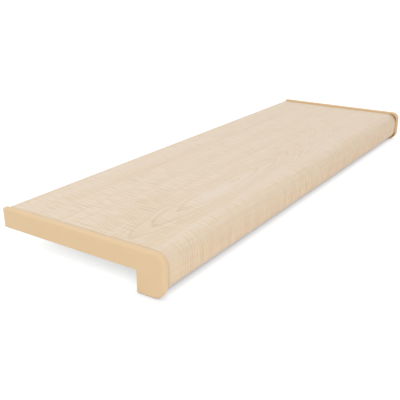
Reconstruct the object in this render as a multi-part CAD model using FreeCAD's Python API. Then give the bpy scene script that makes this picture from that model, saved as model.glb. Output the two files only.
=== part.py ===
import FreeCAD, Part

import os

from FreeCAD import Vector

# Window sill board: a chambered plastic extrusion with a moulded cap on each end.
# X runs along the board, -Y is the room side with the nose, +Y the window side, +Z is up.
# The origin is under the middle of the whole part, on the floor it stands on.
# All sizes are in millimetres.

# Outer sizes of the extrusion
BOARD_LENGTH = 630.0
BOARD_DEPTH = 200.0
PLATE_THICKNESS = 18.0
NOSE_HEIGHT = 38.0
NOSE_DEPTH = 27.5
NOSE_TOP_RADIUS = 14.5
NOSE_LOW_RADIUS = 12.0

# Walls and chambers of the extrusion
TOP_WALL = 2.2
FRONT_WALL = 2.2
UNDER_WALL = 1.8
REAR_WALL = 2.0
NOSE_BACK_WALL = 2.0
WEB_THICKNESS = 1.3
WEB_SPACING = 19.0
CHAMBER_CORNER = 0.6

# End caps
CAP_PLATE = 3.0
SKIRT_LAP = 3.0
SKIRT_WALL = 2.5
SKIRT_TOP_RADIUS = 9.5
SKIRT_LOW_RADIUS = 13.0
POCKET_RADIUS = 9.0
SKIRT_CLEARANCE = 0.1
NOSE_SLACK = 0.5
RIM_FILLET = 2.0
SKIRT_EDGE_FILLET = 0.8
REAR_CORNER = 2.0

# Plugs on the inside of the caps, which sit in the chambers
PLUG_LENGTH = 12.0
PLUG_WALL = 1.4
PLUG_CLEARANCE = 0.15
PLUG_LEAD_IN = 0.3
PLUG_EVERY = 2

# Places that follow from the sizes
CAP_REACH = SKIRT_WALL + SKIRT_CLEARANCE
BOARD_END = BOARD_LENGTH / 2
REAR_Y = (BOARD_DEPTH + CAP_REACH) / 2
FRONT_Y = REAR_Y - BOARD_DEPTH
NOSE_BACK_Y = FRONT_Y + NOSE_DEPTH
NOSE_BOTTOM_Z = SKIRT_WALL + NOSE_SLACK
TOP_Z = NOSE_BOTTOM_Z + NOSE_HEIGHT
UNDERSIDE_Z = TOP_Z - PLATE_THICKNESS

# How close two places are before they count as one
TOUCH = 0.01


def line(start, end):
    """Straight edge."""
    return Part.LineSegment(start, end).toShape()


def corner_arc(corner_y, corner_z, radius, side_y, side_z):
    """Quarter circle that rounds a corner; side_y and side_z say which way the corner points.

    Returns its end on the level side, the edge, and its end on the upright side.
    """
    centre_y = corner_y - side_y * radius
    centre_z = corner_z - side_z * radius
    diagonal = radius * 0.5 ** 0.5
    on_level = Vector(0, centre_y, corner_z)
    middle = Vector(0, centre_y + side_y * diagonal, centre_z + side_z * diagonal)
    on_upright = Vector(0, corner_y, centre_z)
    return on_level, Part.Arc(on_level, middle, on_upright).toShape(), on_upright


def sill_face(front, rear, top, underside, nose_back, bottom, top_radius, low_radius, rear_radius=0.0):
    """L-shaped section in the plane x = 0, rounded at the front and, if asked, at the rear top."""
    top_start, top_arc, front_high = corner_arc(front, top, top_radius, -1, 1)
    low_start, low_arc, front_low = corner_arc(front, bottom, low_radius, -1, -1)
    nose_foot = Vector(0, nose_back, bottom)
    inner_corner = Vector(0, nose_back, underside)
    rear_low = Vector(0, rear, underside)
    edges = [
        top_arc,
        line(front_high, front_low),
        low_arc,
        line(low_start, nose_foot),
        line(nose_foot, inner_corner),
        line(inner_corner, rear_low),
    ]
    if rear_radius > 0:
        rear_top, rear_arc, rear_high = corner_arc(rear, top, rear_radius, 1, 1)
        edges += [line(rear_low, rear_high), rear_arc, line(rear_top, top_start)]
    else:
        rear_top = Vector(0, rear, top)
        edges += [line(rear_low, rear_top), line(rear_top, top_start)]
    return Part.Face(Part.Wire(Part.sortEdges(edges)[0]))


def bar_face(low_y, high_y, low_z, high_z):
    """Rectangle in the plane x = 0."""
    corners = [(low_y, low_z), (high_y, low_z), (high_y, high_z), (low_y, high_z), (low_y, low_z)]
    return Part.Face(Part.makePolygon([Vector(0, y, z) for y, z in corners]))


def rounded(face, radius):
    """The face with its outward corners rounded."""
    return face.makeOffset2D(-radius).makeOffset2D(radius)


def along(face, start_x, end_x):
    """Solid of the section between two places on the length."""
    moved = face.copy()
    moved.translate(Vector(start_x, 0, 0))
    return moved.extrude(Vector(end_x - start_x, 0, 0))


def web_faces(hollow_rear):
    """Sections of the walls that divide the hollow: nose back, level web and upright webs."""
    # The nose's back wall runs up to the top wall, and the plate's lower wall runs on to the front
    webs = [
        bar_face(NOSE_BACK_Y - NOSE_BACK_WALL, NOSE_BACK_Y, NOSE_BOTTOM_Z, TOP_Z),
        bar_face(FRONT_Y, NOSE_BACK_Y, UNDERSIDE_Z, UNDERSIDE_Z + UNDER_WALL),
    ]

    # Upright webs divide the plate into even chambers
    room = hollow_rear - NOSE_BACK_Y + WEB_THICKNESS
    chamber_count = max(int(round(room / WEB_SPACING)), 1)
    pitch = room / chamber_count
    for number in range(1, chamber_count):
        web_end = NOSE_BACK_Y + number * pitch
        webs.append(bar_face(web_end - WEB_THICKNESS, web_end, UNDERSIDE_Z, TOP_Z))
    return webs


def chamber_faces():
    """Sections of the hollow chambers, from the nose to the rear edge."""
    hollow_rear = REAR_Y - REAR_WALL
    hollow = sill_face(
        FRONT_Y + FRONT_WALL,
        hollow_rear,
        TOP_Z - TOP_WALL,
        UNDERSIDE_Z + UNDER_WALL,
        NOSE_BACK_Y - NOSE_BACK_WALL,
        NOSE_BOTTOM_Z + UNDER_WALL,
        NOSE_TOP_RADIUS - FRONT_WALL,
        NOSE_LOW_RADIUS - FRONT_WALL,
    )
    chambers = hollow.cut(web_faces(hollow_rear)).Faces
    chambers.sort(key=lambda chamber: (chamber.CenterOfMass.y, chamber.CenterOfMass.z))
    return [rounded(chamber, CHAMBER_CORNER) for chamber in chambers]


def make_board(chambers):
    """The extrusion, with its chambers open at both ends."""
    section = sill_face(
        FRONT_Y,
        REAR_Y,
        TOP_Z,
        UNDERSIDE_Z,
        NOSE_BACK_Y,
        NOSE_BOTTOM_Z,
        NOSE_TOP_RADIUS,
        NOSE_LOW_RADIUS,
    )
    board = along(section, -BOARD_END, BOARD_END)
    return board.cut([along(chamber, -BOARD_END, BOARD_END) for chamber in chambers])


def make_plug(chamber):
    """Hollow plug that sits in one chamber, with a chamfered lead-in and an open tip."""
    tip_x = BOARD_END - PLUG_LENGTH
    plug = along(chamber.makeOffset2D(-PLUG_CLEARANCE), tip_x, BOARD_END)
    tip_edges = [edge for edge in plug.Edges if edge.BoundBox.XMax < tip_x + TOUCH]
    plug = plug.makeChamfer(PLUG_LEAD_IN, tip_edges)
    return plug.cut(along(chamber.makeOffset2D(-PLUG_CLEARANCE - PLUG_WALL), tip_x, BOARD_END))


def on_outline(edge, end_x):
    """True for an edge of the cap's outline at one of its ends, apart from those flush with the board."""
    box = edge.BoundBox
    if abs(box.XMin - end_x) > TOUCH or abs(box.XMax - end_x) > TOUCH:
        return False
    on_underside = abs(box.Center.z - UNDERSIDE_Z) < TOUCH and box.Center.y > NOSE_BACK_Y
    on_nose_back = abs(box.Center.y - NOSE_BACK_Y) < TOUCH
    return not on_underside and not on_nose_back


def make_cap(chambers):
    """Moulded cap for the +X end: plate, skirt over the board's edge, and plugs."""
    face_x = BOARD_END + CAP_PLATE
    skirt_x = BOARD_END - SKIRT_LAP
    outline = sill_face(
        FRONT_Y - CAP_REACH,
        REAR_Y,
        TOP_Z + CAP_REACH,
        UNDERSIDE_Z,
        NOSE_BACK_Y,
        0.0,
        SKIRT_TOP_RADIUS,
        SKIRT_LOW_RADIUS,
        REAR_CORNER,
    )
    cap = along(outline, skirt_x, face_x)
    for end_x, radius in ((face_x, RIM_FILLET), (skirt_x, SKIRT_EDGE_FILLET)):
        cap = cap.makeFillet(radius, [edge for edge in cap.Edges if on_outline(edge, end_x)])

    # The pocket for the board's end is open at the rear, under the plate and behind the nose
    pocket = sill_face(
        FRONT_Y - SKIRT_CLEARANCE,
        REAR_Y + CAP_REACH,
        TOP_Z + SKIRT_CLEARANCE,
        UNDERSIDE_Z - CAP_REACH,
        NOSE_BACK_Y + CAP_REACH,
        NOSE_BOTTOM_Z - NOSE_SLACK,
        POCKET_RADIUS,
        POCKET_RADIUS,
    )
    cap = cap.cut(along(pocket, skirt_x, BOARD_END))

    # Plugs in the nose's lower chamber and in every second chamber of the plate
    low = [chamber for chamber in chambers if chamber.CenterOfMass.z < UNDERSIDE_Z]
    plate = [chamber for chamber in chambers if chamber.CenterOfMass.y > NOSE_BACK_Y]
    plugs = [make_plug(chamber) for chamber in low + plate[::PLUG_EVERY]]
    return cap.fuse(plugs).removeSplitter()


def save(shape, node):
    """Write one node, which has to be one valid solid, to its STEP file."""
    if len(shape.Solids) != 1 or not shape.isValid():
        raise RuntimeError(node + " is not one valid solid")
    solid = shape.Solids[0]
    solid.exportStep("parts/" + node + ".step")
    print(node, round(solid.Volume / 1000, 1), "cm3")


os.makedirs("parts", exist_ok=True)
chambers = chamber_faces()
right_cap = make_cap(chambers)
save(make_board(chambers), "sill_board")
save(right_cap, "end_cap_right")
save(right_cap.mirror(Vector(0, 0, 0), Vector(1, 0, 0)), "end_cap_left")
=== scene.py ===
"""Looks of a window sill board: maple decor film on a chambered plastic board with moulded end caps.

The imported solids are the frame. The decor film is a thin skin over the board's top and nose, each
solid gets its plastic, and a plain studio holds the floor, the lights and the camera.
Lengths are in metres. Patterns are drawn in millimetres, which their names and docstrings say.
"""

import logging
import math
from dataclasses import dataclass
from enum import Enum
from typing import Callable, Dict, Tuple, Union

import bmesh
import bpy
from mathutils import Matrix, Vector

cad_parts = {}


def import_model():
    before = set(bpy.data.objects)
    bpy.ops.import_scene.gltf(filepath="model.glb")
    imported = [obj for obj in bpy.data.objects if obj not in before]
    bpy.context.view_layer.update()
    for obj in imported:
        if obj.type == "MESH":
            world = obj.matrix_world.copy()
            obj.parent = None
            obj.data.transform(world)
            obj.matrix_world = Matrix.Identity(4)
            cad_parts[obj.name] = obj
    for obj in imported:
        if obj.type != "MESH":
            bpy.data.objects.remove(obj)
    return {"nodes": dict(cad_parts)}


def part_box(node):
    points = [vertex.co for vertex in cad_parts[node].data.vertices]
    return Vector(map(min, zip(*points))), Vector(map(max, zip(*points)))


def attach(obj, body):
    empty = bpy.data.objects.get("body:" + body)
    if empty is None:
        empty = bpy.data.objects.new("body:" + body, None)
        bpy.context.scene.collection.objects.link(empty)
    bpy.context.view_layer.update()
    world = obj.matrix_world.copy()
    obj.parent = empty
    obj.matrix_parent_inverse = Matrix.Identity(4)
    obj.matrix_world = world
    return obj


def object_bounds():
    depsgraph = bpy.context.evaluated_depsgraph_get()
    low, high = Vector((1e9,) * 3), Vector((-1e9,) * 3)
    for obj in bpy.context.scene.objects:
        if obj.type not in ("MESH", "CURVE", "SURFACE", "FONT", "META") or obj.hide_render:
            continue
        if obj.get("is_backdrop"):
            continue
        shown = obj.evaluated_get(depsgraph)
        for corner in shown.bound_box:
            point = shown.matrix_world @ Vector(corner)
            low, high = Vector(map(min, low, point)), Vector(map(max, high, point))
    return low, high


LOG = logging.getLogger("sill_board")
ROOT_BODY = "root"
MM_PER_M = 1000.0
FULL_TURN = 2.0 * math.pi
QUARTER_TURN = math.pi / 2.0

# The curve from a screen's colours to linear ones: a straight toe, then a power
FULL_CHANNEL = 255.0
TOE_END = 0.04045
TOE_SLOPE = 12.92
CURVE_OFFSET = 0.055
CURVE_POWER = 2.4

Colour = Tuple[int, int, int]
LinearColour = Tuple[float, float, float, float]
Number = Union[float, "Signal"]
Paint = Union[Colour, bpy.types.NodeSocket]
Triple = Tuple[float, float, float]

WHITE: LinearColour = (1.0, 1.0, 1.0, 1.0)


class NodeName(Enum):
    """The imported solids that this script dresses."""

    BOARD = "sill_board"
    LEFT_CAP = "end_cap_left"
    RIGHT_CAP = "end_cap_right"


class FinishSlot(Enum):
    """The record's finish slots, by name."""

    DECOR = "maple_decor"


def linear(colour: Colour) -> LinearColour:
    """Turns a display colour into the shader's linear one.

    Args:
        colour: Red, green and blue from 0 to 255, as they look on a screen.

    Returns:
        Linear red, green, blue and an alpha of 1.
    """
    values = []
    for channel in colour:
        share = channel / FULL_CHANNEL
        curved = ((share + CURVE_OFFSET) / (1.0 + CURVE_OFFSET)) ** CURVE_POWER
        values.append(share / TOE_SLOPE if share <= TOE_END else curved)
    return values[0], values[1], values[2], 1.0


class Signal:
    """A number that varies over a surface: one output socket, with arithmetic."""

    def __init__(self, sheet: "NodeSheet", socket: bpy.types.NodeSocket) -> None:
        """Holds the socket and the sheet that it is drawn on."""
        self.sheet = sheet
        self.socket = socket

    def __add__(self, other: Number) -> "Signal":
        """Sum."""
        return self.sheet.math("ADD", self, other)

    def __sub__(self, other: Number) -> "Signal":
        """Difference."""
        return self.sheet.math("SUBTRACT", self, other)

    def __rsub__(self, other: float) -> "Signal":
        """Difference with a plain number first."""
        return self.sheet.math("SUBTRACT", other, self)

    def __mul__(self, other: Number) -> "Signal":
        """Product."""
        return self.sheet.math("MULTIPLY", self, other)

    def __truediv__(self, other: Number) -> "Signal":
        """Quotient."""
        return self.sheet.math("DIVIDE", self, other)

    def root(self) -> "Signal":
        """Square root."""
        return self.sheet.math("SQRT", self)

    def sine(self) -> "Signal":
        """Sine of the number as an angle in radians."""
        return self.sheet.math("SINE", self)

    def fraction(self) -> "Signal":
        """Part after the decimal point."""
        return self.sheet.math("FRACT", self)

    def at_least(self, floor: Number) -> "Signal":
        """The greater of the two."""
        return self.sheet.math("MAXIMUM", self, floor)

    def at_most(self, ceiling: Number) -> "Signal":
        """The lesser of the two."""
        return self.sheet.math("MINIMUM", self, ceiling)


class NodeSheet:
    """The node tree of one material or world, filled in by short calls."""

    ROWS = 6
    COLUMN_WIDTH = 190.0
    ROW_HEIGHT = 230.0

    # Raw noise runs from about 0.25 to 0.75
    NOISE_GAIN = 4.0

    # Places of a colour mix's sockets, which share their names with those of other mixes
    MIX_SHARE = 0
    MIX_FIRST = 6
    MIX_SECOND = 7
    MIX_RESULT = 2

    def __init__(self, owner: Union[bpy.types.Material, bpy.types.World]) -> None:
        """Clears the owner's tree.

        Args:
            owner: Material or world to draw.
        """
        self.owner = owner
        owner.use_nodes = True
        self.tree = owner.node_tree
        self.tree.nodes.clear()

    @classmethod
    def for_material(cls, name: str) -> "NodeSheet":
        """Starts a new material of that name."""
        return cls(bpy.data.materials.new(name))

    def add(self, kind: str, **settings: object) -> bpy.types.Node:
        """Adds a node.

        Args:
            kind: Blender's type name of the node.
            **settings: Properties of the node to set.

        Returns:
            The node.
        """
        node = self.tree.nodes.new(kind)
        for name, value in settings.items():
            setattr(node, name, value)
        column, row = divmod(len(self.tree.nodes), self.ROWS)
        node.location = (column * self.COLUMN_WIDTH, -row * self.ROW_HEIGHT)
        return node

    def feed(self, socket: bpy.types.NodeSocket, value: object) -> None:
        """Sets a socket to a plain value, or links a signal or another socket to it.

        Args:
            socket: Input to set.
            value: Plain value, signal or output socket.
        """
        if isinstance(value, Signal):
            value = value.socket
        if isinstance(value, bpy.types.NodeSocket):
            self.tree.links.new(value, socket)
        else:
            socket.default_value = value

    def feed_all(self, node: bpy.types.Node, values: Dict[str, object]) -> None:
        """Feeds some of a node's inputs by name."""
        for name, value in values.items():
            self.feed(node.inputs[name], value)

    def math(self, operation: str, *values: Number) -> Signal:
        """Adds a Math node.

        Args:
            operation: Blender's name of the operation.
            *values: What it works on.

        Returns:
            The result.
        """
        node = self.add("ShaderNodeMath", operation=operation)
        for socket, value in zip(node.inputs, values):
            self.feed(socket, value)
        return Signal(self, node.outputs["Value"])

    def noise(self, x: Number, y: Number, z: Number, detail: float) -> Signal:
        """Draws soft noise.

        Args:
            x: First coordinate, in cells of the noise.
            y: Second coordinate, in cells.
            z: Third coordinate, in cells, or a fixed number that picks one noise from another.
            detail: How many finer layers are added.

        Returns:
            The noise, from about -1 to 1.
        """
        point = self.add("ShaderNodeCombineXYZ")
        self.feed_all(point, {"X": x, "Y": y, "Z": z})
        node = self.add("ShaderNodeTexNoise")
        self.feed_all(node, {"Vector": point.outputs["Vector"], "Scale": 1.0, "Detail": detail})
        return Signal(self, node.outputs["Fac"]) * self.NOISE_GAIN - self.NOISE_GAIN / 2.0

    def split(self, vector: bpy.types.NodeSocket) -> Tuple[Signal, Signal, Signal]:
        """Splits a vector.

        Args:
            vector: Output socket with the vector.

        Returns:
            Its three numbers.
        """
        node = self.add("ShaderNodeSeparateXYZ")
        self.feed_all(node, {"Vector": vector})
        return tuple(Signal(self, output) for output in node.outputs)

    def mixed(self, share: Number, first: Paint, second: Paint) -> bpy.types.NodeSocket:
        """Mixes two colours.

        Args:
            share: How much of the second colour shows, from 0 to 1.
            first: Colour socket or display colour.
            second: Colour socket or display colour.

        Returns:
            The mixed colour's socket.
        """
        node = self.add("ShaderNodeMix", data_type="RGBA", clamp_factor=True)
        self.feed(node.inputs[self.MIX_SHARE], share)
        for place, paint in ((self.MIX_FIRST, first), (self.MIX_SECOND, second)):
            self.feed(node.inputs[place], linear(paint) if isinstance(paint, tuple) else paint)
        return node.outputs[self.MIX_RESULT]

    def relief(self, height: Signal, depth: float, strength: float) -> bpy.types.NodeSocket:
        """Turns a height into a normal.

        Args:
            height: Height in shares of the depth.
            depth: What a height of 1 stands for, in metres.
            strength: How much of the relief is used, from 0 to 1.

        Returns:
            The normal's socket.
        """
        node = self.add("ShaderNodeBump")
        self.feed_all(node, {"Height": height, "Distance": depth, "Strength": strength})
        return node.outputs["Normal"]

    def finish(
        self, colour: bpy.types.NodeSocket, roughness: Signal, normal: bpy.types.NodeSocket, ior: float
    ) -> bpy.types.Material:
        """Ends the tree in a plastic shader.

        Args:
            colour: Socket with the colour.
            roughness: Number from 0 to 1.
            normal: Socket with the surface normal.
            ior: Refractive index of the surface.

        Returns:
            The finished material.
        """
        shader = self.add("ShaderNodeBsdfPrincipled")
        values = {"Base Color": colour, "Roughness": roughness, "Normal": normal, "IOR": ior}
        self.feed_all(shader, values)
        output = self.add("ShaderNodeOutputMaterial")
        self.feed_all(output, {"Surface": shader.outputs["BSDF"]})
        return self.owner


@dataclass(frozen=True)
class Fade:
    """A smooth change from one share to another, while a number goes from start to end."""

    start: float
    end: float
    first: float = 0.0
    last: float = 1.0

    def of(self, number: Signal) -> Signal:
        """Draws the fade.

        Args:
            number: What the fade follows.

        Returns:
            The share, which stays the same before the start and past the end.
        """
        node = number.sheet.add("ShaderNodeMapRange", interpolation_type="SMOOTHSTEP")
        (low, at_low), (high, at_high) = sorted(((self.start, self.first), (self.end, self.last)))
        limits = {"From Min": low, "From Max": high, "To Min": at_low, "To Max": at_high}
        number.sheet.feed_all(node, {"Value": number, **limits})
        return Signal(number.sheet, node.outputs["Result"])


@dataclass(frozen=True)
class GrainNoise:
    """Soft noise in the print, with its cells' length and width in millimetres.

    The variant picks one noise from another, and the detail is how many finer layers are added.
    """

    length: float
    width: float
    variant: float
    detail: float = 2.0
    strength: float = 1.0

    def at(self, along: Signal, across: Signal) -> Signal:
        """Draws the noise.

        Args:
            along: Place along its cells.
            across: Place across them.

        Returns:
            The noise, from about minus the strength to the strength.
        """
        cells = (along / self.length, across / self.width)
        return along.sheet.noise(*cells, self.variant, self.detail) * self.strength


@dataclass(frozen=True)
class GrainLines:
    """Lines side by side, each of which darkens slowly and ends sharply.

    The spacing is in millimetres, and the places in a line are shares of it.
    """

    spacing: float
    start: float
    darkest: float
    clearing: float

    def at(self, distance: Signal) -> Signal:
        """Draws the lines.

        Args:
            distance: Place across the lines, in millimetres.

        Returns:
            Darkness from 0 to 1.
        """
        step = (distance / self.spacing).fraction()
        return Fade(self.start, self.darkest).of(step) * Fade(1.0, self.clearing).of(step)


@dataclass(frozen=True)
class GrowthRing:
    """One ring of the figure: its half-width across the grain, its line's width and its darkness."""

    radius: float
    width: float
    darkness: float

    OUTER_EDGE = Fade(-0.45, 0.15)
    LINE_SHARE = 0.65

    # Where the line and the shade inside it are full and where they end, in widths of the line
    FULL_DARK = 0.4
    LINE_END = 1.6
    SHADE_END = 5.0

    def mark(self, radius: Signal) -> Signal:
        """Draws the ring: sharp at its outer side, and fading inwards past the line.

        Args:
            radius: Place, in millimetres from the figure's heart.

        Returns:
            Darkness from 0 to the ring's.
        """
        inside = self.radius - radius
        full_dark = self.width * self.FULL_DARK
        line = Fade(self.width * self.LINE_END, full_dark).of(inside)
        shade = Fade(self.width * self.SHADE_END, full_dark).of(inside)
        profile = line * self.LINE_SHARE + shade * (1.0 - self.LINE_SHARE)
        return self.OUTER_EDGE.of(inside) * profile * self.darkness


@dataclass(frozen=True)
class CathedralFigure:
    """The nested flame-shaped ovals of flat-sawn maple. Lengths are in millimetres on the unrolled film.

    The lean is how far the heart line moves across for each millimetre along, and the taper is the
    ovals' width for each millimetre of their length.
    """

    centre_along: float = 176.0
    centre_across: float = 148.3
    lean: float = -0.016
    taper: float = 0.139
    rings: Tuple[GrowthRing, ...] = (
        GrowthRing(11.4, 0.55, 0.7),
        GrowthRing(17.9, 0.8, 0.8),
        GrowthRing(22.4, 0.7, 0.55),
        GrowthRing(25.2, 0.7, 0.3),
        GrowthRing(28.6, 0.8, 0.3),
    )
    wander: GrainNoise = GrainNoise(34.0, 7.0, 3.1, 3.0, 0.5)
    patches: GrainNoise = GrainNoise(24.0, 5.0, 7.7)
    patch_darkness: Fade = Fade(-1.1, 0.3, 0.45)
    tip_darkness: Fade = Fade(0.3, 1.0, 0.55, 0.9)

    # The small ring in the middle, whose place is counted from the centre
    eye_along: float = 28.0
    eye_across: float = 0.5
    eye_taper: float = 0.22
    eye_inner: Fade = Fade(0.9, 1.7)
    eye_outer: Fade = Fade(2.6, 1.9)

    def heart(self, along: Signal) -> Signal:
        """Where the figure's middle line lies, from the rear edge."""
        return (along - self.centre_along) * self.lean + self.centre_across

    def radius(self, along: Signal, across: Signal) -> Signal:
        """Draws how far out a place is, counted across the grain from the figure's heart.

        Args:
            along: Place from the left end.
            across: Place from the rear edge.

        Returns:
            The distance in millimetres.
        """
        beside_heart = across - self.heart(along)
        length_wise = (along - self.centre_along) * self.taper
        distance = (beside_heart * beside_heart + length_wise * length_wise).root()
        return distance + self.wander.at(along, across)

    def lines(self, along: Signal, across: Signal, radius: Signal) -> Signal:
        """Draws the growth lines, darkest at the ovals' left tips.

        Args:
            along: Place from the left end.
            across: Place from the rear edge.
            radius: Result of radius().

        Returns:
            Darkness from 0 to 1.
        """
        marks = self.rings[0].mark(radius)
        for ring in self.rings[1:]:
            marks = marks.at_least(ring.mark(radius))
        towards_tip = (self.centre_along - along) * self.taper / radius
        patches = self.patch_darkness.of(self.patches.at(along, across))
        return marks * self.tip_darkness.of(towards_tip) * patches

    def eye(self, along: Signal, across: Signal) -> Signal:
        """Draws the small closed ring in the middle of the innermost oval.

        Args:
            along: Place from the left end.
            across: Place from the rear edge.

        Returns:
            Darkness from 0 to 1.
        """
        length_wise = (along - self.centre_along - self.eye_along) * self.eye_taper
        beside_heart = across - self.heart(along) - self.eye_across
        size = (length_wise * length_wise + beside_heart * beside_heart).root()
        return self.eye_inner.of(size) * self.eye_outer.of(size)


@dataclass(frozen=True)
class GrainArrows:
    """Arrow heads of grain that follow the figure to the right. Lengths are in millimetres.

    The slope is how far a line closes in on the middle line for each millimetre along, and the bend
    adds to it past the start. The middle line is the figure's heart line, and drifts to the rear
    past the start.
    """

    start: float = 300.0
    slope: float = 0.11
    bend: float = 0.0003
    drift: float = 0.07
    tip_radius: float = 2.5
    wander: GrainNoise = GrainNoise(95.0, 16.0, 61.0, 2.0, 2.6)
    grain: GrainLines = GrainLines(4.9, 0.62, 0.93, 0.93)
    patches: GrainNoise = GrainNoise(4.0, 120.0, 63.0, 1.0)
    patch_darkness: Fade = Fade(-0.8, 0.8, 0.25)
    side_darkness: Fade = Fade(-3.0, 3.0, 0.3)
    left_end: Fade = Fade(240.0, 320.0)
    right_end: Fade = Fade(580.0, 450.0)
    rear_side: Fade = Fade(-20.0, -8.0)
    nose_side: Fade = Fade(38.0, 24.0)

    def lines(self, along: Signal, beside_heart: Signal) -> Signal:
        """Draws the lines, strongest on the nose's side.

        Args:
            along: Place from the left end.
            beside_heart: Place across the grain from the figure's heart line.

        Returns:
            Darkness from 0 to 1.
        """
        from_start = along - self.start
        past_start = from_start.at_least(0.0)
        beside = beside_heart + past_start * self.drift
        rise = from_start * self.slope + past_start * past_start * self.bend
        distance = rise + (beside * beside + self.tip_radius * self.tip_radius).root()
        marks = self.grain.at(distance + self.wander.at(along, beside))
        patches = self.patch_darkness.of(self.patches.at(distance, along))
        stretch = self.left_end.of(along) * self.right_end.of(along)
        width = self.nose_side.of(beside) * self.rear_side.of(beside)
        return marks * self.side_darkness.of(beside) * patches * stretch * width


@dataclass(frozen=True)
class GrainFan:
    """Close lines that rise to the rear, left of the figure. Lengths are in millimetres.

    The slope is how far they rise across the board for each millimetre along it.
    """

    slope: float = 0.4
    wander: GrainNoise = GrainNoise(26.0, 9.0, 67.0, 2.0, 0.8)
    grain: GrainLines = GrainLines(3.9, 0.45, 0.95, 0.96)
    right_end: Fade = Fade(165.0, 105.0)
    rear_side: Fade = Fade(78.0, 96.0)
    nose_side: Fade = Fade(142.0, 128.0)

    def lines(self, along: Signal, across: Signal) -> Signal:
        """Draws the lines.

        Args:
            along: Place from the left end.
            across: Place from the rear edge.

        Returns:
            Darkness from 0 to 1.
        """
        marks = self.grain.at(across + along * self.slope + self.wander.at(along, across))
        width = self.rear_side.of(across) * self.nose_side.of(across)
        return marks * self.right_end.of(along) * width


@dataclass(frozen=True)
class Mark:
    """A soft dark mark in the grain: a band along the board or a fleck. Lengths are in millimetres."""

    along: float
    across: float
    half_length: float
    half_width: float
    darkness: float

    # Share of the mark's size that is fully dark
    CORE = 0.2

    def shade(self, along: Signal, across: Signal) -> Signal:
        """Draws the mark.

        Args:
            along: Place from the left end.
            across: Place from the rear edge.

        Returns:
            Darkness from 0 to the mark's.
        """
        beside = (along - self.along) / self.half_length
        beyond = (across - self.across) / self.half_width
        size = (beside * beside + beyond * beyond).root()
        return Fade(1.0, self.CORE, 0.0, self.darkness).of(size)


@dataclass(frozen=True)
class Ripples:
    """Short strokes across the grain, strongest at the rear left. Lengths are in millimetres.

    The lean is how far a stroke slants along the board for each millimetre across it.
    """

    spacing: float = 6.3
    lean: float = 0.09
    wobble: GrainNoise = GrainNoise(45.0, 45.0, 23.7, 1.0, 3.0)
    even_strength: float = 0.34
    loose: GrainNoise = GrainNoise(2.2, 22.0, 25.1, 0.6, 1.1)
    patches: GrainNoise = GrainNoise(34.0, 20.0, 29.3, 1.0)
    patch_strength: Fade = Fade(-0.9, 0.8)
    left_strength: Fade = Fade(640.0, 380.0, 0.5)
    rear_strength: Fade = Fade(150.0, 100.0, 0.65)

    def tone(self, along: Signal, across: Signal) -> Signal:
        """Draws the ripples.

        Args:
            along: Place from the left end.
            across: Place from the rear edge.

        Returns:
            Tone from about -1, dark, to 1, light.
        """
        leaning = along + across * self.lean
        turn = (leaning + self.wobble.at(along, across)) * (FULL_TURN / self.spacing)
        strokes = turn.sine() * self.even_strength + self.loose.at(leaning, across)
        patches = self.patch_strength.of(self.patches.at(along, across))
        return strokes * patches * self.left_strength.of(along) * self.rear_strength.of(across)


@dataclass(frozen=True)
class NoseStreaks:
    """Close streaks that run over the nose, across the grain. Lengths are in millimetres."""

    spacing: float = 4.1
    bow: GrainNoise = GrainNoise(40.0, 45.0, 31.0, 1.0, 3.0)
    even_strength: float = 0.46
    loose: GrainNoise = GrainNoise(1.15, 34.0, 37.7, 1.0, 0.6)
    groups: GrainNoise = GrainNoise(18.0, 40.0, 41.9, 1.0)
    group_strength: Fade = Fade(-1.0, 0.7, 0.4)
    wide: GrainNoise = GrainNoise(2.4, 26.0, 39.1, 1.0, 1.05)
    wide_strength: Fade = Fade(80.0, 330.0)

    def tone(self, along: Signal, across: Signal) -> Signal:
        """Draws the streaks.

        Args:
            along: Place from the left end.
            across: Place from the rear edge.

        Returns:
            Tone from about -1, dark, to 1, light.
        """
        bowed = along + self.bow.at(along, across)
        even = (bowed * (FULL_TURN / self.spacing)).sine() * self.even_strength
        groups = self.group_strength.of(self.groups.at(along, across))
        wide = self.wide.at(bowed, across) * self.wide_strength.of(along)
        return (even + self.loose.at(bowed, across)) * groups + wide


@dataclass(frozen=True)
class FilmPlace:
    """A place on the film, and what both parts of the print are drawn from. Lengths are in millimetres."""

    along: Signal
    across: Signal
    radius: Signal
    rings: Signal
    bands: Signal
    streaks: Signal


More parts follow.
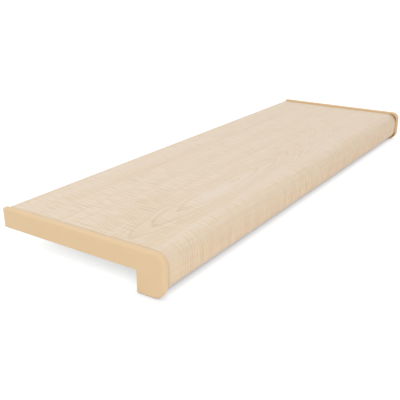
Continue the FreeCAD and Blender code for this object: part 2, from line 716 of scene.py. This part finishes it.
@dataclass(frozen=True)
class TopPrint:
    """The print on the board's top: the figure in rippled maple. Colours are display colours.

    Where the tone of the ripples or streaks is below its level, they darken the print.
    """

    warm: Colour = (231, 209, 179)
    pale: Colour = (236, 219, 199)
    ripple: Colour = (202, 180, 152)
    line: Colour = (207, 175, 133)
    arrows: GrainArrows = GrainArrows()
    fan: GrainFan = GrainFan()
    ripples: Ripples = Ripples()
    marks: Tuple[Mark, ...] = (
        Mark(250.0, 42.0, 420.0, 7.0, 0.11),
        Mark(190.0, 67.0, 300.0, 3.4, 0.08),
        Mark(120.0, 86.0, 260.0, 3.0, 0.08),
        Mark(230.0, 112.0, 330.0, 3.4, 0.05),
        Mark(500.0, 41.0, 200.0, 10.0, 0.08),
        Mark(390.0, 68.0, 9.0, 4.5, 0.2),
        Mark(394.0, 32.0, 6.0, 3.5, 0.12),
    )
    ring_darkness: float = 0.62
    arrow_darkness: float = 0.5
    fan_darkness: float = 0.2
    eye_darkness: float = 0.35
    outside_rings: Fade = Fade(17.5, 20.0)
    heart_paleness: Fade = Fade(11.0, 7.0, 0.0, 0.32)
    ripple_paleness: float = 0.49
    ripple_level: float = 0.3
    ripple_darkness: float = 0.22
    streak_level: float = 0.2
    streak_darkness: float = 0.13
    near_nose: Fade = Fade(154.0, 176.0)

    def darkness(self, place: FilmPlace, figure: CathedralFigure) -> Signal:
        """Adds up the dark lines and marks.

        Args:
            place: Place on the film.
            figure: Figure that the lines follow.

        Returns:
            Darkness from 0 to about 1.
        """
        beside_heart = place.across - figure.heart(place.along)
        outside = self.outside_rings.of(place.radius)
        arrows = self.arrows.lines(place.along, beside_heart) * outside
        fan = self.fan.lines(place.along, place.across) * outside
        eye = figure.eye(place.along, place.across)
        lines = place.rings * self.ring_darkness + arrows * self.arrow_darkness
        total = lines + fan * self.fan_darkness + eye * self.eye_darkness
        for mark in self.marks:
            total = total + mark.shade(place.along, place.across)
        return total

    def colour(self, place: FilmPlace, figure: CathedralFigure) -> bpy.types.NodeSocket:
        """Draws the print.

        Args:
            place: Place on the film.
            figure: Figure that the print shows.

        Returns:
            The colour's socket.
        """
        sheet = place.along.sheet
        ripples = self.ripples.tone(place.along, place.across)
        paleness = place.bands + self.heart_paleness.of(place.radius) + ripples * self.ripple_paleness
        colour = sheet.mixed(paleness, self.warm, self.pale)
        hollows = (self.ripple_level - ripples).at_least(0.0) * self.ripple_darkness
        colour = sheet.mixed(hollows, colour, self.ripple)
        colour = sheet.mixed(self.darkness(place, figure), colour, self.line)
        streaks = (self.streak_level - place.streaks).at_least(0.0) * self.near_nose.of(place.across)
        return sheet.mixed(streaks * self.streak_darkness, colour, self.line)


@dataclass(frozen=True)
class NosePrint:
    """The print over the nose: close streaks in a warmer maple. Colours are display colours.

    Where the tone of the streaks is below its level, they darken the print.
    """

    warm: Colour = (232, 205, 170)
    pale: Colour = (237, 216, 185)
    rosy: Colour = (228, 198, 175)
    line: Colour = (207, 175, 133)
    streak_paleness: float = 0.6
    far_warmth: Fade = Fade(120.0, 640.0, 0.0, 0.2)
    rosy_patches: GrainNoise = GrainNoise(8.0, 55.0, 47.1, 1.0)
    rosiness: Fade = Fade(-0.6, 1.0, 0.0, 0.55)
    streak_level: float = 0.3
    streak_darkness: float = 0.27
    # Painted shade: the nose darkens steadily towards the far end, as the lamp's light falls off along it
    falloff_shade_per_mm: float = 0.0003

    def colour(self, place: FilmPlace) -> bpy.types.NodeSocket:
        """Draws the print.

        Args:
            place: Place on the film.

        Returns:
            The colour's socket.
        """
        sheet = place.along.sheet
        paleness = place.streaks * self.streak_paleness + place.bands - self.far_warmth.of(place.along)
        colour = sheet.mixed(paleness, self.warm, self.pale)
        rosiness = self.rosiness.of(self.rosy_patches.at(place.along, place.across))
        colour = sheet.mixed(rosiness, colour, self.rosy)
        streaks = (self.streak_level - place.streaks).at_least(0.0) * self.streak_darkness
        # The steady darkening along the nose is painted shade
        return sheet.mixed(streaks + place.along * self.falloff_shade_per_mm, colour, self.line)


@dataclass(frozen=True)
class MapleDecor:
    """Printed maple film, satin, with a faint emboss. Lengths are in millimetres on the unrolled film."""

    name: str = "maple_decor_film"
    figure: CathedralFigure = CathedralFigure()
    streaks: NoseStreaks = NoseStreaks()
    top: TopPrint = TopPrint()
    nose: NosePrint = NosePrint()
    over_nose: Fade = Fade(191.0, 216.0)
    wide_bands: GrainNoise = GrainNoise(260.0, 12.0, 11.4, 2.0, 0.34)
    fine_bands: GrainNoise = GrainNoise(60.0, 2.4, 17.9, 3.0, 0.5)
    middle_band: float = 0.5
    # Painted shade: a darker band on the film beside each cap, where the cap's skirt shades it
    cap_shade_tone: Colour = (207, 175, 133)
    shade_beside_cap: Fade = Fade(10.4, 7.6, 0.0, 0.45)
    pores: GrainNoise = GrainNoise(1.6, 0.35, 53.3)
    pore_height: float = 0.35
    ring_depth: float = 0.25
    streak_height: float = 0.25
    emboss_depth_m: float = 0.00004
    emboss_strength: float = 0.6
    roughness: float = 0.42
    pore_roughness: float = 0.03
    ring_roughness: float = 0.05
    ior: float = 1.46

    def place(self, sheet: NodeSheet) -> FilmPlace:
        """Reads the film's unrolled map, and draws what both parts of the print share.

        Args:
            sheet: Tree to draw on.

        Returns:
            The place on the film.
        """
        unrolled = sheet.add("ShaderNodeUVMap", uv_map=DecorFilm.MAP_NAME)
        map_along, map_across, _ = sheet.split(unrolled.outputs["UV"])
        along = map_along * MM_PER_M
        across = map_across * MM_PER_M
        radius = self.figure.radius(along, across)
        rings = self.figure.lines(along, across, radius)
        bands = self.wide_bands.at(along, across) + self.fine_bands.at(along, across) + self.middle_band
        return FilmPlace(along, across, radius, rings, bands, self.streaks.tone(along, across))

    def material(self, film_length: float) -> bpy.types.Material:
        """Draws the film's material.

        Args:
            film_length: Length of the film, in millimetres.

        Returns:
            The material.
        """
        sheet = NodeSheet.for_material(self.name)
        place = self.place(sheet)
        over_nose = self.over_nose.of(place.across)
        colour = sheet.mixed(over_nose, self.top.colour(place, self.figure), self.nose.colour(place))
        # Painted shade: the film is darkened in a band beside each cap
        from_end = place.along.at_most(film_length - place.along)
        colour = sheet.mixed(self.shade_beside_cap.of(from_end), colour, self.cap_shade_tone)

        pores = self.pores.at(place.along, place.across)
        height = pores * self.pore_height - place.rings * self.ring_depth
        height = height + place.streaks * over_nose * self.streak_height
        normal = sheet.relief(height, self.emboss_depth_m, self.emboss_strength)
        roughness = pores * self.pore_roughness + place.rings * self.ring_roughness + self.roughness
        return sheet.finish(colour, roughness, normal, self.ior)


@dataclass(frozen=True)
class PlainPlastic:
    """Plain plastic with a soft drift of tone and a fine texture, drawn on object coordinates.

    Colours are display colours. Cells are a noise's lengths along X, Y and Z, in millimetres.
    """

    name: str
    colour: Colour
    shade: Colour
    drift_cells: Triple
    texture_cells: Triple
    texture_detail: float
    texture_tone: float
    texture_strength: float
    texture_roughness: float
    roughness: float
    texture_depth_m: float = 0.00002
    drift_detail: float = 2.0
    drift_tone: float = 0.25
    middle_tone: float = 0.5
    ior: float = 1.5

    def material(self) -> bpy.types.Material:
        """Draws the plastic's material.

        Returns:
            The material.
        """
        sheet = NodeSheet.for_material(self.name)
        coordinates = sheet.add("ShaderNodeTexCoord")
        place = [part * MM_PER_M for part in sheet.split(coordinates.outputs["Object"])]
        drift_place = (part / cell for part, cell in zip(place, self.drift_cells))
        drift = sheet.noise(*drift_place, self.drift_detail) * self.drift_tone + self.middle_tone
        texture_place = (part / cell for part, cell in zip(place, self.texture_cells))
        texture = sheet.noise(*texture_place, self.texture_detail)
        colour = sheet.mixed(drift + texture * self.texture_tone, self.shade, self.colour)
        normal = sheet.relief(texture, self.texture_depth_m, self.texture_strength)
        return sheet.finish(colour, texture * self.texture_roughness + self.roughness, normal, self.ior)


# Injection-moulded, with a fine matt grain
CAP_PLASTIC = PlainPlastic(
    name="cap_moulded_plastic",
    colour=(234, 204, 162),
    shade=(231, 200, 157),
    drift_cells=(40.0, 40.0, 40.0),
    texture_cells=(0.55, 0.55, 0.55),
    texture_detail=2.0,
    texture_tone=0.08,
    texture_strength=0.7,
    texture_roughness=0.03,
    roughness=0.5,
)

# Extruded and bare, with faint die lines along its length
CORE_PLASTIC = PlainPlastic(
    name="board_core_plastic",
    colour=(236, 229, 214),
    shade=(229, 221, 204),
    drift_cells=(120.0, 25.0, 25.0),
    texture_cells=(900.0, 0.9, 0.9),
    texture_detail=3.0,
    texture_tone=0.1,
    texture_strength=0.8,
    texture_roughness=0.04,
    roughness=0.38,
)


def dress(node: bpy.types.Object, material: bpy.types.Material) -> None:
    """Gives all of a solid's slots one material."""
    for slot in node.material_slots:
        slot.material = material


@dataclass
class DecorFilm:
    """The film laminated over the board's top and nose. The angle is in degrees."""

    board_low: Vector
    board_high: Vector
    nose_depth: float = 0.0275
    nose_top_radius: float = 0.0145
    nose_low_radius: float = 0.012
    thickness: float = 0.00008
    glue_gap: float = 0.00001
    arc_steps: int = 24
    smooth_angle: float = 30.0
    finish: MapleDecor = MapleDecor()

    MAP_NAME = "unrolled"

    # How close two places are before they count as one
    TOUCH = 1e-6

    @property
    def length(self) -> float:
        """Length of the film, which is the board's."""
        return self.board_high.x - self.board_low.x

    @property
    def top_flat(self) -> float:
        """Depth of the flat part of the top."""
        return self.board_high.y - self.board_low.y - self.nose_top_radius

    @property
    def front_flat(self) -> float:
        """Height of the flat part of the nose."""
        height = self.board_high.z - self.board_low.z
        return height - self.nose_top_radius - self.nose_low_radius

    @property
    def top_centre(self) -> Tuple[float, float]:
        """Y and Z of the centre of the nose's upper round."""
        return self.board_low.y + self.nose_top_radius, self.board_high.z - self.nose_top_radius

    @property
    def low_centre(self) -> Tuple[float, float]:
        """Y and Z of the centre of the nose's lower round."""
        return self.board_low.y + self.nose_low_radius, self.board_low.z + self.nose_low_radius

    def unroll(self, y: float, z: float) -> float:
        """Works out the distance over the film from its rear edge to a place on it.

        Args:
            y: Place towards the window.
            z: Place in height.

        Returns:
            The distance in metres.
        """
        top_y, top_z = self.top_centre
        low_y, low_z = self.low_centre
        to_front = self.top_flat + self.nose_top_radius * QUARTER_TURN
        to_low_round = to_front + self.front_flat
        to_bottom = to_low_round + self.nose_low_radius * QUARTER_TURN
        if y >= top_y and z >= top_z:
            return self.board_high.y - y
        if z >= top_z:
            return self.top_flat + self.nose_top_radius * math.atan2(top_y - y, z - top_z)
        if z >= low_z:
            return to_front + top_z - z
        if y <= low_y:
            return to_low_round + self.nose_low_radius * math.atan2(low_z - z, low_y - y)
        return to_bottom + y - low_y

    def select_front_edge(self, skin: bpy.types.Object, at_end: Callable[[Vector], bool]) -> None:
        """Selects only the edge whose points pass a test.

        Args:
            skin: Object in edit mode.
            at_end: Test for a point of the edge to select.
        """
        bpy.ops.mesh.select_all(action="DESELECT")
        mesh = bmesh.from_edit_mesh(skin.data)
        for edge in mesh.edges:
            if all(at_end(vertex.co) for vertex in edge.verts):
                edge.select_set(True)
        bmesh.update_edit_mesh(skin.data)

    def bend_round(self, centre_y: float, centre_z: float) -> None:
        """Spins the selected edge a quarter turn about a round's axis, forwards and down.

        Args:
            centre_y: Y of the round's centre.
            centre_z: Z of the round's centre.
        """
        # With no window, spin takes its angle the other way round
        bpy.ops.mesh.spin(
            steps=self.arc_steps,
            angle=-QUARTER_TURN,
            center=(0.0, centre_y, centre_z),
            axis=(1.0, 0.0, 0.0),
        )

    def draw_skin(self) -> bpy.types.Object:
        """Models the open skin: a flat, a round, the front, the lower round and the bottom.

        Returns:
            The skin's object.
        """
        top_y, top_z = self.top_centre
        low_y, low_z = self.low_centre
        bpy.ops.object.select_all(action="DESELECT")
        middle = (0.0, self.board_high.y - self.top_flat / 2.0, self.board_high.z)
        bpy.ops.mesh.primitive_plane_add(size=1.0, location=middle)
        skin = bpy.context.object
        skin.name = "decor_film"
        skin.scale = (self.length, self.top_flat, 1.0)
        bpy.ops.object.transform_apply(location=True, rotation=False, scale=True)

        bpy.ops.object.mode_set(mode="EDIT")
        self.select_front_edge(skin, lambda place: place.y < top_y + self.TOUCH)
        self.bend_round(top_y, top_z)
        self.select_front_edge(skin, lambda place: place.z < top_z + self.TOUCH)
        bpy.ops.mesh.extrude_region_move(TRANSFORM_OT_translate={"value": (0.0, 0.0, -self.front_flat)})
        self.select_front_edge(skin, lambda place: place.z < low_z + self.TOUCH)
        self.bend_round(low_y, low_z)
        self.select_front_edge(skin, lambda place: place.z < self.board_low.z + self.TOUCH)
        under_nose = self.nose_depth - self.nose_low_radius
        bpy.ops.mesh.extrude_region_move(TRANSFORM_OT_translate={"value": (0.0, under_nose, 0.0)})
        bpy.ops.mesh.select_all(action="SELECT")
        bpy.ops.mesh.remove_doubles(threshold=self.TOUCH)
        bpy.ops.mesh.normals_make_consistent(inside=False)
        bpy.ops.object.mode_set(mode="OBJECT")
        return skin

    def give_thickness(self, skin: bpy.types.Object) -> None:
        """Lifts the skin off the board by the glue and makes it a closed sheet.

        Args:
            skin: Open skin from draw_skin().
        """
        top = max(skin.data.polygons, key=lambda face: face.center.z)
        outward = 1.0 if top.normal.z > 0.0 else -1.0
        sheet = skin.modifiers.new("thickness", "SOLIDIFY")
        sheet.thickness = self.thickness
        sheet.offset = outward * (1.0 + 2.0 * self.glue_gap / self.thickness)
        bpy.ops.object.modifier_apply(modifier=sheet.name)
        bpy.ops.object.mode_set(mode="EDIT")
        bpy.ops.mesh.select_all(action="SELECT")
        bpy.ops.mesh.normals_make_consistent(inside=False)
        bpy.ops.object.mode_set(mode="OBJECT")

    def lay_out_map(self, skin: bpy.types.Object) -> None:
        """Writes the unrolled map: the length, and the distance from the rear edge, in metres.

        Args:
            skin: Film with its thickness.
        """
        layer = skin.data.uv_layers.new(name=self.MAP_NAME)
        for loop in skin.data.loops:
            place = skin.data.vertices[loop.vertex_index].co
            layer.data[loop.index].uv = (place.x - self.board_low.x, self.unroll(place.y, place.z))

    def build(self) -> bpy.types.Object:
        """Builds and dresses the film.

        Returns:
            The film's object.
        """
        skin = self.draw_skin()
        self.give_thickness(skin)
        self.lay_out_map(skin)
        bpy.ops.object.shade_smooth_by_angle(angle=math.radians(self.smooth_angle))
        skin.data.materials.clear()
        skin.data.materials.append(self.finish.material(self.length * MM_PER_M))
        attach(skin, ROOT_BODY)
        return skin


@dataclass
class SillBoard:
    """The chambered board, whose bare plastic shows underneath and at the rear."""

    node: bpy.types.Object
    finish: PlainPlastic = CORE_PLASTIC

    def build(self) -> bpy.types.Object:
        """Dresses the solid and lays the film on it.

        Returns:
            The film's object.
        """
        dress(self.node, self.finish.material())
        low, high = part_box(NodeName.BOARD.value)
        return DecorFilm(low, high).build()


@dataclass
class EndCaps:
    """The pair of moulded caps."""

    left: bpy.types.Object
    right: bpy.types.Object
    finish: PlainPlastic = CAP_PLASTIC

    def build(self) -> None:
        """Dresses both caps in one plastic."""
        material = self.finish.material()
        for cap in (self.left, self.right):
            dress(cap, material)


@dataclass(frozen=True)
class Softbox:
    """A square lamp that faces a point. Its power is in watts."""

    name: str
    place: Triple
    size: float
    power: float

    def build(self, target: Vector) -> None:
        """Hangs the lamp and turns it to a point.

        Args:
            target: Point that the lamp faces.
        """
        lamp = bpy.data.lights.new(self.name, "AREA")
        lamp.shape = "SQUARE"
        lamp.size = self.size
        lamp.energy = self.power
        holder = bpy.data.objects.new(self.name, lamp)
        bpy.context.scene.collection.objects.link(holder)
        holder.location = self.place
        holder.rotation_euler = (target - Vector(self.place)).to_track_quat("-Z", "Y").to_euler()


@dataclass(frozen=True)
class FloorShade:
    """Shade where the board comes closer to the floor than the reach."""

    reach: float
    depth: float

    SAMPLES = 16

    def cover(self, sheet: NodeSheet) -> Signal:
        """Draws how closed in the floor is.

        Args:
            sheet: Tree to draw on.

        Returns:
            Share from 0, open, to 1, closed in on all sides.
        """
        near = sheet.add("ShaderNodeAmbientOcclusion", samples=self.SAMPLES)
        sheet.feed_all(near, {"Distance": self.reach})
        return 1.0 - Signal(sheet, near.outputs["AO"])

    def lost(self, sheet: NodeSheet) -> Signal:
        """Draws the share of the floor's light that is lost, which is the depth at full cover."""
        return self.cover(sheet) * self.depth


@dataclass(frozen=True)
class CaveShade(FloorShade):
    """Shade that sets in only deep under the raised plate, between two shares of cover."""

    start: float
    full: float

    def lost(self, sheet: NodeSheet) -> Signal:
        """Draws the share of the floor's light that is lost, which is the depth at full cover."""
        return Fade(self.start, self.full, 0.0, self.depth).of(self.cover(sheet))


@dataclass(frozen=True)
class Studio:
    """White floor, pale surroundings with a bright backdrop, and two soft lamps.

    The lamps light a share of the floor's white, and the rest is a glow with the board's soft shade.
    The backdrop's heading is in radians from X.
    """

    floor_size: float = 40.0
    floor_white: float = 0.86
    floor_glow: float = 0.98
    floor_lit_share: float = 0.2
    shades: Tuple[FloorShade, ...] = (
        FloorShade(0.007, 0.36),
        FloorShade(0.028, 0.17),
        CaveShade(0.15, 0.5, 0.76, 1.04),
    )
    room_light: float = 0.42
    backdrop_light: float = 0.95
    backdrop_heading: float = 0.594
    backdrop_edge: Fade = Fade(-0.2, 0.7)
    zenith: float = 0.92
    lamps: Tuple[Softbox, ...] = (
        Softbox("key_softbox", (-1.15, -1.5, 0.42), 0.8, 7.4),
        Softbox("rim_softbox", (-1.25, 1.1, 1.45), 0.8, 7.0),
    )

    def floor_material(self) -> bpy.types.Material:
        """Draws the floor, which glows white for the camera and in reflections.

        Returns:
            The material.
        """
        sheet = NodeSheet.for_material("studio_floor_white")
        diffuse = sheet.add("ShaderNodeBsdfDiffuse")
        sheet.feed_all(diffuse, {"Color": (self.floor_white, self.floor_white, self.floor_white, 1.0)})

        glow_share = 1.0 - self.floor_lit_share
        open_share: Number = 1.0
        for shade in self.shades:
            open_share = open_share - shade.lost(sheet)
        glow = sheet.add("ShaderNodeEmission")
        sheet.feed_all(glow, {"Color": WHITE, "Strength": open_share * (self.floor_glow / glow_share)})

        ray = sheet.add("ShaderNodeLightPath")
        reflected = Signal(sheet, ray.outputs["Is Glossy Ray"])
        seen = Signal(sheet, ray.outputs["Is Camera Ray"]).at_least(reflected)
        blend = sheet.add("ShaderNodeMixShader")
        parts = (seen * glow_share, diffuse.outputs["BSDF"], glow.outputs["Emission"])
        for socket, part in zip(blend.inputs, parts):
            sheet.feed(socket, part)
        output = sheet.add("ShaderNodeOutputMaterial")
        sheet.feed_all(output, {"Surface": blend.outputs["Shader"]})
        return sheet.owner

    def build_floor(self) -> None:
        """Lays the floor, which the camera sees as white apart from the board's soft shade."""
        bpy.ops.object.select_all(action="DESELECT")
        bpy.ops.mesh.primitive_plane_add(size=self.floor_size, location=(0.0, 0.0, 0.0))
        floor = bpy.context.object
        floor.name = "studio_floor"
        floor.data.materials.append(self.floor_material())
        floor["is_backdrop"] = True

    def build_surroundings(self) -> None:
        """Makes a pale grey room with a bright backdrop and ceiling, which the camera sees as white."""
        world = bpy.data.worlds.new("studio_surroundings")
        bpy.context.scene.world = world
        sheet = NodeSheet(world)
        place = sheet.add("ShaderNodeTexCoord")
        x, y, height = sheet.split(place.outputs["Generated"])
        behind = x * math.cos(self.backdrop_heading) + y * math.sin(self.backdrop_heading)
        backdrop = self.backdrop_edge.of(behind) * (self.backdrop_light - self.room_light)
        level = backdrop + self.room_light
        light = level + height.at_least(0.0) * (self.zenith - level)
        ray = sheet.add("ShaderNodeLightPath")
        seen = Signal(sheet, ray.outputs["Is Camera Ray"])
        background = sheet.add("ShaderNodeBackground")
        sheet.feed_all(background, {"Color": WHITE, "Strength": light.at_least(seen)})
        output = sheet.add("ShaderNodeOutputWorld")
        sheet.feed_all(output, {"Surface": background.outputs["Background"]})

    def build(self, target: Vector) -> None:
        """Builds the floor, the surroundings and the lamps.

        Args:
            target: Middle of the part, which the lamps face.
        """
        self.build_floor()
        self.build_surroundings()
        for lamp in self.lamps:
            lamp.build(target)


@dataclass(frozen=True)
class ProductCamera:
    """The camera at the photograph's angle. Angles are in radians, the sensor and lens in millimetres."""

    name: str = "product_camera"
    place: Triple = (-0.68515, -0.38636, 0.27181)
    heading: float = 0.59396
    tilt_down: float = 0.36552
    roll: float = -0.00305
    sensor: float = 36.0
    focal_length: float = 55.673
    nearest: float = 0.01
    farthest: float = 100.0

    def turn(self) -> Matrix:
        """Works out which way the camera is turned.

        Returns:
            The camera's axes as the columns of a matrix.
        """
        level = math.cos(self.tilt_down)
        forward = Vector(
            (math.cos(self.heading) * level, math.sin(self.heading) * level, -math.sin(self.tilt_down))
        )
        right = Vector((math.sin(self.heading), -math.cos(self.heading), 0.0))
        up = right.cross(forward)
        rolled_right = right * math.cos(self.roll) + up * math.sin(self.roll)
        rolled_up = up * math.cos(self.roll) - right * math.sin(self.roll)
        return Matrix((rolled_right, rolled_up, -forward)).transposed()

    def build(self) -> None:
        """Makes the camera the scene's own."""
        lens = bpy.data.cameras.new(self.name)
        lens.sensor_fit = "HORIZONTAL"
        lens.sensor_width = self.sensor
        lens.lens = self.focal_length
        lens.clip_start = self.nearest
        lens.clip_end = self.farthest
        holder = bpy.data.objects.new(self.name, lens)
        bpy.context.scene.collection.objects.link(holder)
        holder.matrix_world = Matrix.Translation(self.place) @ self.turn().to_4x4()
        bpy.context.scene.camera = holder


def main() -> None:
    """Dresses the board and the caps, then sets up the studio."""
    logging.basicConfig(level=logging.INFO, format="%(message)s")
    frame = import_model()
    cad_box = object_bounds()
    nodes = frame["nodes"]
    bpy.context.scene.view_settings.view_transform = "Standard"

    film = SillBoard(nodes[NodeName.BOARD.value]).build()
    LOG.info("board dressed, with %s laid over it", film.name)
    EndCaps(nodes[NodeName.LEFT_CAP.value], nodes[NodeName.RIGHT_CAP.value]).build()
    LOG.info("end caps dressed")

    middle = (cad_box[0] + cad_box[1]) / 2.0
    Studio().build(middle)
    ProductCamera().build()
    LOG.info("studio and camera set up")


if __name__ == "__main__":
    main()
